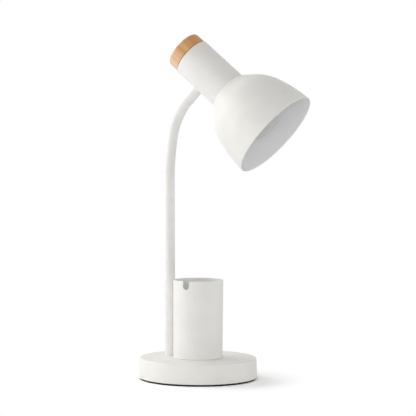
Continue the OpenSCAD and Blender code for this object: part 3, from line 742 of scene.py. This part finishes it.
def wound_hose_tree():
    """Round wire wound close along a route, in phase from one length to the next."""
    sizes = {label: "Float" for label in ("From", "To", "Pitch", "Coil Radius", "Wire Radius")}
    tree, given = start_tree("wound_hose", sizes | {"Points a Turn": "Int", "Material": "Material"})

    points = given["To"]
    to_points = [
        ("SUBTRACT", given["From"]),
        ("DIVIDE", given["Pitch"]),
        ("MULTIPLY", given["Points a Turn"]),
    ]
    for operation, other in to_points:
        points = node(tree, "ShaderNodeMath", {0: points, 1: other}, operation=operation).outputs[0]
    resample = {"Curve": length_of_route(tree, given), "Count": points}
    line = node(tree, "GeometryNodeResampleCurve", resample, mode="COUNT").outputs[0]

    angle = node(tree, "GeometryNodeSplineParameter").outputs["Length"]
    to_angle = [("ADD", given["From"]), ("DIVIDE", given["Pitch"]), ("MULTIPLY", 2 * math.pi)]
    for operation, other in to_angle:
        angle = node(tree, "ShaderNodeMath", {0: angle, 1: other}, operation=operation).outputs[0]
    sideways = node(tree, "ShaderNodeCombineXYZ", {"Y": given["Coil Radius"]}).outputs[0]
    tangent = node(tree, "GeometryNodeInputTangent").outputs[0]
    spun = {"Vector": sideways, "Axis": tangent, "Angle": angle}
    offset = node(tree, "ShaderNodeVectorRotate", spun, rotation_type="AXIS_ANGLE").outputs[0]
    helix = node(tree, "GeometryNodeSetPosition", {"Geometry": line, "Offset": offset}).outputs[0]
    circle = {"Resolution": HOSE_SIDES, "Radius": given["Wire Radius"]}
    profile = node(tree, "GeometryNodeCurvePrimitiveCircle", circle).outputs[0]
    wire = {"Curve": helix, "Profile Curve": profile, "Fill Caps": True}
    end_tree(tree, node(tree, "GeometryNodeCurveToMesh", wire).outputs[0], given["Material"])
    return tree


def grow(piece, tree, slot, **sizes):
    """Turns a line into the tree's plain mesh; an input's name has _ for each space."""
    modifier = piece.modifiers.new(tree.name, "NODES")
    modifier.node_group = tree
    sockets = {item.name: item.identifier for item in tree.interface.items_tree if item.in_out == "INPUT"}
    for label, value in sizes.items():
        modifier[sockets[label.replace("_", " ")]] = value
    modifier[sockets["Material"]] = FINISHES[slot]
    apply_modifiers(piece)
    tidy_mesh(piece)
    return piece


def neck_length(index):
    """Sleeve, hose and leads from the middle of one link to the middle of the next, or on to the
    neck's end."""
    first = index == 1
    last = index == len(frame["joints"])
    start = 0.0 if first else MIDDLES[index - 1]
    end = COLLAR_AT if last else MIDDLES[index]
    links = [index - 1, index] if last else [index - 1]

    line = route_line(f"neck_sleeve_length_{index}", NECK_FOOT, NECK, NECK_LEN)
    sleeve = grow(
        line, swept_tube, "sleeve_silicone",
        From=start, To=end, Radius=SLEEVE_R, Sides=SLEEVE_SIDES, Capped=False,
    )
    wall = sleeve.modifiers.new("wall", "SOLIDIFY")
    wall.thickness = SLEEVE_R - SLEEVE_BORE_R
    wall.offset = -1
    apply_modifiers(sleeve)
    tidy_mesh(sleeve)
    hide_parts(*[f"neck_sleeve_{link}" for link in links])

    line = route_line(f"neck_hose_wound_{index}", NECK_FOOT, NECK, NECK_LEN)
    hose_from = HOSE_FOOT + HOSE_WIRE_R if first else start
    hose_to = end - HOSE_WIRE_R if last else end
    hose = grow(
        line, wound_hose, "hose_steel",
        From=hose_from, To=hose_to, Pitch=HOSE_PITCH,
        Coil_Radius=HOSE_COIL_R, Wire_Radius=HOSE_WIRE_R, Points_a_Turn=POINTS_A_TURN,
    )
    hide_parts(*[f"neck_hose_{link}" for link in links])

    leads = []
    for side in (-1, 1):
        route, neck_from = lead_route(side)
        total = sum(stretch[0] for stretch in route)
        lead_from = 0.0 if first else neck_from + start - STUB
        lead_to = total if last else neck_from + end - STUB
        line = route_line(f"lead_{side}", (LEAD_FROM_X, LEAD_Z), route, total, side * LEAD_Y)
        leads.append(grow(
            line, swept_tube, "lead_insulation",
            From=lead_from, To=lead_to, Radius=LEAD_R, Sides=LEAD_SIDES, Capped=True,
        ))
    pair = join(f"lamp_leads_{index}", leads)
    pair.data.materials.append(FINISHES["lead_insulation"])
    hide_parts("lamp_leads")

    below = neck_frame(STATIONS[index] - BEND_REACH).translation
    above = neck_frame(STATIONS[index] + BEND_REACH).translation
    for piece in (sleeve, hose, pair):
        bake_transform(piece)


def neck_collar():
    """Painted end piece: rounded at its foot and coped to the housing, with a spigot into it."""
    bore = 3.1 * MM
    spigot_r = 4.95 * MM
    head_axis = COLLAR + HOUSING_R
    spigot_to_axis = 16.6 * MM
    spigot_top = head_axis - spigot_to_axis
    edge = 0.9 * MM
    turns = 96
    angles = [2 * math.pi * k / turns for k in range(turns)]

    def ring(radius, height):
        return [(radius * math.cos(a), radius * math.sin(a), height) for a in angles]

    def coped(radius):
        return [(x, y, z - math.sqrt(HOUSING_R**2 - y**2)) for x, y, z in ring(radius, head_axis)]

    rings = [ring(bore, 0.0)]
    rings += [ring(radius, height) for radius, height in arc((COLLAR_R - edge, edge), edge, -90, 0, 6)]
    rings += [coped(COLLAR_R), coped(spigot_r), ring(spigot_r, spigot_top), ring(bore, spigot_top)]
    collar = solid_of_rings("neck_collar", rings, neck_frame(COLLAR_AT))
    dress(collar, "head", "collar_paint", "top_ferrule")


# ---------------------------------------------------------------------------
# Head: housing, wooden cap, shade and bulb
# ---------------------------------------------------------------------------


def head_housing():
    """Open tube with its cut ends just eased."""
    edge = 0.35 * MM
    inner = HOUSING_R - HOUSING_WALL
    outline = arc((HOUSING_R - edge, HOUSING_BACK + edge), edge, -90, 0, 4)
    outline += arc((HOUSING_R - edge, HOUSING_FRONT - edge), edge, 0, 90, 4)
    outline += [(inner, HOUSING_FRONT), (inner, HOUSING_BACK)]
    dress(lathe("head_housing_tube", outline, HEAD, turns=192), "head", "head_paint", "head_housing")


def wood_cap():
    """Turned cap with a rounded rear edge, and a plug that fits the housing behind a narrow seam."""
    edge = 3.0 * MM
    ease = 0.4 * MM
    draft = 0.2 * MM
    fit = 0.02 * MM
    seam_depth = 0.8 * MM
    plug_len = 6 * MM
    plug_r = HOUSING_R - HOUSING_WALL - fit
    plug_front = HOUSING_BACK + plug_len
    back = HOUSING_BACK - CAP_LEN
    rear_r = CAP_R - draft
    outline = [(0, back)]
    outline += arc((rear_r - edge, back + edge), edge, -90, -1, 12)
    outline += arc((CAP_R - ease, JOINT_EDGE - ease), ease, 0, 90, 4)
    outline += [(plug_r - seam_depth, JOINT_EDGE), (plug_r - seam_depth, HOUSING_BACK)]
    outline += [(plug_r, HOUSING_BACK), (plug_r, plug_front), (0, plug_front)]
    dress(lathe("beech_end_cap", outline, HEAD), "head", "cap_beech", "wood_cap")


def bell_side(inset):
    """The bell's outline from the mouth back, as (radius, distance behind the mouth), and its slope
    at the end."""
    skirt = (MOUTH_R - SKIRT_R * math.cos(MOUTH_SLOPE), -SKIRT_R * math.sin(MOUTH_SLOPE))
    turn = MOUTH_SLOPE + SKIRT_TURN
    shoulder = (
        skirt[0] + (SKIRT_R - SHOULDER_R) * math.cos(turn),
        skirt[1] + (SKIRT_R - SHOULDER_R) * math.sin(turn),
    )
    slope = turn + SHOULDER_TURN
    side = arc(skirt, SKIRT_R - inset, math.degrees(MOUTH_SLOPE), math.degrees(turn), 24)
    side += arc(shoulder, SHOULDER_R - inset, math.degrees(turn), math.degrees(slope), 24)
    return side, slope


def shade():
    """Spun bell with a rolled rim and a flat seat round the lampholder; its inside takes a lighter,
    cooler copy of the white paint, which is painted light bounced into the bell."""
    outer, slope = bell_side(0)
    inner = bell_side(SHADE_WALL)[0]
    foot = outer[-1][1] + (outer[-1][0] - HOUSING_R) / math.tan(slope)
    mouth = HOUSING_FRONT + foot
    seat = foot - SHADE_WALL
    corner = (inner[-1][0] - (seat - inner[-1][1]) * math.tan(slope), seat)
    clearance = 0.2 * MM
    hole = HOLDER_R + clearance
    rim_r = SHADE_WALL / 2
    outline = arc((MOUTH_R - rim_r, rim_r), rim_r, 180, 360, 8) + outer[1:]
    outline += [(HOUSING_R, foot), (hole, foot), (hole, seat), corner]
    outline += list(reversed(inner[1:]))
    outline = [(r, mouth - d) for r, d in outline]
    bell = lathe("bell_shade", outline, HEAD, turns=256)
    dress(bell, "head", "shade_paint", "shade")
    # Inner faces get the lighter, cooler white: painted bounce light
    bell.data.materials.append(SHADE_INSIDE_PAINTED_LIGHT)
    axis = HEAD.to_3x3() @ Vector((0, 0, 1))
    rim_depth = 0.6 * MM
    for face in bell.data.polygons:
        offset = face.center - HEAD.translation
        outward = offset - axis * offset.dot(axis)
        depth = mouth - offset.dot(axis)
        if face.normal.dot(outward) < 0 and depth > rim_depth:
            face.material_index = 1


def globe_line(inset):
    """The diffuser's outline from its rim to its tip, inset by part of its wall."""
    edge_turn = math.degrees(math.atan2(GLOBE_WIDE - GLOBE_TIP + GLOBE_TOP_R, GLOBE_R - GLOBE_EDGE_R))
    rim_turn = -math.degrees(math.asin((GLOBE_WIDE - GLOBE_RIM) / (GLOBE_SIDE_R - inset)))
    line = arc((GLOBE_R - GLOBE_SIDE_R, GLOBE_WIDE), GLOBE_SIDE_R - inset, rim_turn, 0, 14)
    line += arc((GLOBE_R - GLOBE_EDGE_R, GLOBE_WIDE), GLOBE_EDGE_R - inset, 0, edge_turn, 20)[1:]
    line += arc((0, GLOBE_TIP - GLOBE_TOP_R), GLOBE_TOP_R - inset, edge_turn, 90, 18)[1:]
    return line


def bulb_globe():
    """Hollow diffuser, open at its rim, closed by the bulb's body."""
    outline = globe_line(0) + globe_line(GLOBE_WALL)[::-1]
    diffuser = lathe("bulb_globe_diffuser", outline, HEAD, turns=144)
    dress(diffuser, "head", "globe_frosted", "bulb_globe")


def bulb_collar():
    """Body of the bulb: it fits on the metal cap, and flares out to the diffuser's rim."""
    foot = 33 * MM
    cap_top = 36 * MM
    inside_r = 12.3 * MM
    foot_r = 14.6 * MM
    waist_r = 15.6 * MM
    waist = 48 * MM
    board_r = 22.5 * MM
    recess = 2.0 * MM
    run = GLOBE_RIM - waist
    flare = 2 * math.atan((GLOBE_RIM_R - waist_r) / run)
    flare_r = run / math.sin(flare)
    outline = [(0, foot), (inside_r, foot), (inside_r, cap_top), (foot_r, cap_top)]
    outline += arc((waist_r + flare_r, waist), flare_r, 180, 180 - math.degrees(flare), 20)
    outline += [(board_r, GLOBE_RIM), (board_r, GLOBE_RIM - recess), (0, GLOBE_RIM - recess)]
    moulding = lathe("bulb_collar_moulding", outline, HEAD, turns=128)
    dress(moulding, "head", "bulb_plastic", "bulb_collar")


# ---------------------------------------------------------------------------
# Floor, light and camera
# ---------------------------------------------------------------------------

WHITE = (1.0, 1.0, 1.0, 1.0)
FLOOR_COLOUR = 0.97
FLOOR_SEEN_BY_CAMERA = 0.36
SHADOW_FROM = 0.09
SHADOW_TO = 0.145
SKY_LIGHT = 0.445
LIGHTS_AIM = Vector((30 * MM, 0, 220 * MM))


def floor():
    """Pale table top: it takes the lamp's soft shadow near the base and runs into white further out."""
    reach = 6.0  # metres to each side
    corners = [(-reach, -reach, 0), (reach, -reach, 0), (reach, reach, 0), (-reach, reach, 0)]
    mesh = bpy.data.meshes.new("floor")
    mesh.from_pydata(corners, [], [(0, 1, 2, 3)])
    plane = bpy.data.objects.new("floor", mesh)
    bpy.context.scene.collection.objects.link(plane)
    material = bpy.data.materials.new("pale_table")
    material.use_nodes = True
    tree = material.node_tree
    tree.nodes.clear()
    camera_ray = node(tree, "ShaderNodeLightPath").outputs["Is Camera Ray"]
    lift = {0: camera_ray, 1: FLOOR_SEEN_BY_CAMERA, 2: FLOOR_COLOUR}
    colour = node(tree, "ShaderNodeMath", lift, operation="MULTIPLY_ADD").outputs[0]
    matt = node(tree, "ShaderNodeBsdfDiffuse", {"Color": colour}).outputs[0]
    white = node(tree, "ShaderNodeEmission", {"Color": WHITE, "Strength": 1.0}).outputs[0]
    place = node(tree, "ShaderNodeTexCoord").outputs["Object"]
    distance = node(tree, "ShaderNodeVectorMath", {0: place}, operation="LENGTH").outputs["Value"]
    ramp = {"Value": distance, "From Min": SHADOW_FROM, "From Max": SHADOW_TO}
    fade = node(tree, "ShaderNodeMapRange", ramp, interpolation_type="SMOOTHSTEP").outputs["Result"]
    seen = node(tree, "ShaderNodeMath", {0: camera_ray, 1: fade}, operation="MULTIPLY").outputs[0]
    mix = node(tree, "ShaderNodeMixShader", {0: seen, 1: matt, 2: white}).outputs[0]
    node(tree, "ShaderNodeOutputMaterial", {"Surface": mix})
    mesh.materials.append(material)


def world():
    """Even light from all round, which the camera and the gloss see as white."""
    sky = bpy.data.worlds.new("studio")
    sky.use_nodes = True
    tree = sky.node_tree
    tree.nodes.clear()
    rays = node(tree, "ShaderNodeLightPath").outputs
    seen = rays["Is Camera Ray"]
    for kind in ("Is Glossy Ray", "Is Transmission Ray"):
        seen = node(tree, "ShaderNodeMath", {0: seen, 1: rays[kind]}, operation="MAXIMUM").outputs[0]
    light = node(tree, "ShaderNodeBackground", {"Color": WHITE, "Strength": SKY_LIGHT}).outputs[0]
    white = node(tree, "ShaderNodeBackground", {"Color": WHITE, "Strength": 1.0}).outputs[0]
    mix = node(tree, "ShaderNodeMixShader", {0: seen, 1: light, 2: white}).outputs[0]
    node(tree, "ShaderNodeOutputWorld", {"Surface": mix})
    bpy.context.scene.world = sky


def view_direction(azimuth, elevation=0.0):
    """Where something stands as seen from the lamp: azimuth in degrees from the camera towards its
    right."""
    turn = VIEW_AZIMUTH + math.radians(azimuth)
    rise = math.radians(elevation)
    level = Vector((math.sin(turn), -math.cos(turn), 0)) * math.cos(rise)
    return level + Vector((0, 0, math.sin(rise)))


def soft_box(name, azimuth, elevation, distance, size, power):
    """A rectangular light aimed at the lamp's middle; degrees, metres and watts."""
    light = bpy.data.lights.new(name, "AREA")
    light.shape = "RECTANGLE"
    light.size = size[0]
    light.size_y = size[1]
    light.energy = power
    box = bpy.data.objects.new(name, light)
    bpy.context.scene.collection.objects.link(box)
    away = view_direction(azimuth, elevation)
    box.location = LIGHTS_AIM + away * distance
    box.rotation_mode = "QUATERNION"
    box.rotation_quaternion = away.to_track_quat("Z", "Y")


def lights():
    """A key on the left with a broad light behind it, a weak one on the right, a small one towards
    the shade's mouth, and a low wide fill on the camera's side."""
    soft_box("left_key", azimuth=-90, elevation=13, distance=1.9, size=(1.2, 1.0), power=12.6)
    soft_box("back_left", azimuth=-132, elevation=36, distance=1.9, size=(1.4, 1.2), power=11.5)
    soft_box("right_fill", azimuth=92, elevation=5, distance=1.9, size=(1.0, 0.7), power=4.6)
    soft_box("mouth_fill", azimuth=60, elevation=15, distance=1.9, size=(0.8, 0.6), power=1.5)
    soft_box("front_fill", azimuth=-12, elevation=4.5, distance=2.3, size=(3.1, 0.7), power=11.6)


# The camera's place, worked out from the outlines of the base, cup and shade
VIEW_AZIMUTH = math.radians(22.42)
CAMERA_DISTANCE = 1945.6 * MM
CAMERA_HEIGHT = 281.4 * MM
CAMERA_SHIFT = 11.74 * MM
CAMERA_PITCH = math.radians(1.95)
CAMERA_ROLL = math.radians(0.31)
FOCAL_PIXELS = 1546.5
PHOTO_PIXELS = 416


def camera():
    """The photograph's view of the lamp."""
    right = view_direction(90)
    towards = view_direction(0)
    up = Vector((0, 0, 1))
    place = towards * CAMERA_DISTANCE + right * CAMERA_SHIFT + up * CAMERA_HEIGHT
    forward = -towards * math.cos(CAMERA_PITCH) - up * math.sin(CAMERA_PITCH)
    raised = right.cross(forward)
    cam_right = right * math.cos(CAMERA_ROLL) + raised * math.sin(CAMERA_ROLL)
    cam_up = raised * math.cos(CAMERA_ROLL) - right * math.sin(CAMERA_ROLL)
    data = bpy.data.cameras.new("camera")
    data.sensor_width = 36.0
    data.lens = data.sensor_width * FOCAL_PIXELS / PHOTO_PIXELS
    data.clip_start = 0.05
    data.clip_end = 50.0
    cam = bpy.data.objects.new("camera", data)
    bpy.context.scene.collection.objects.link(cam)
    turn = Matrix((cam_right, cam_up, -forward)).transposed().to_4x4()
    cam.matrix_world = Matrix.Translation(place) @ turn
    bpy.context.scene.camera = cam


# ---------------------------------------------------------------------------
# The scene
# ---------------------------------------------------------------------------

bpy.context.scene.view_settings.view_transform = "Standard"

swept_tube = swept_tube_tree()
wound_hose = wound_hose_tree()

camera()
base_shell()
base_pad()
cord_bush()
pen_cup()
for number, joint in enumerate(frame["joints"], 1):
    neck_length(number)
neck_collar()
head_housing()
wood_cap()
shade()
bulb_globe()
bulb_collar()
floor()
world()
lights()
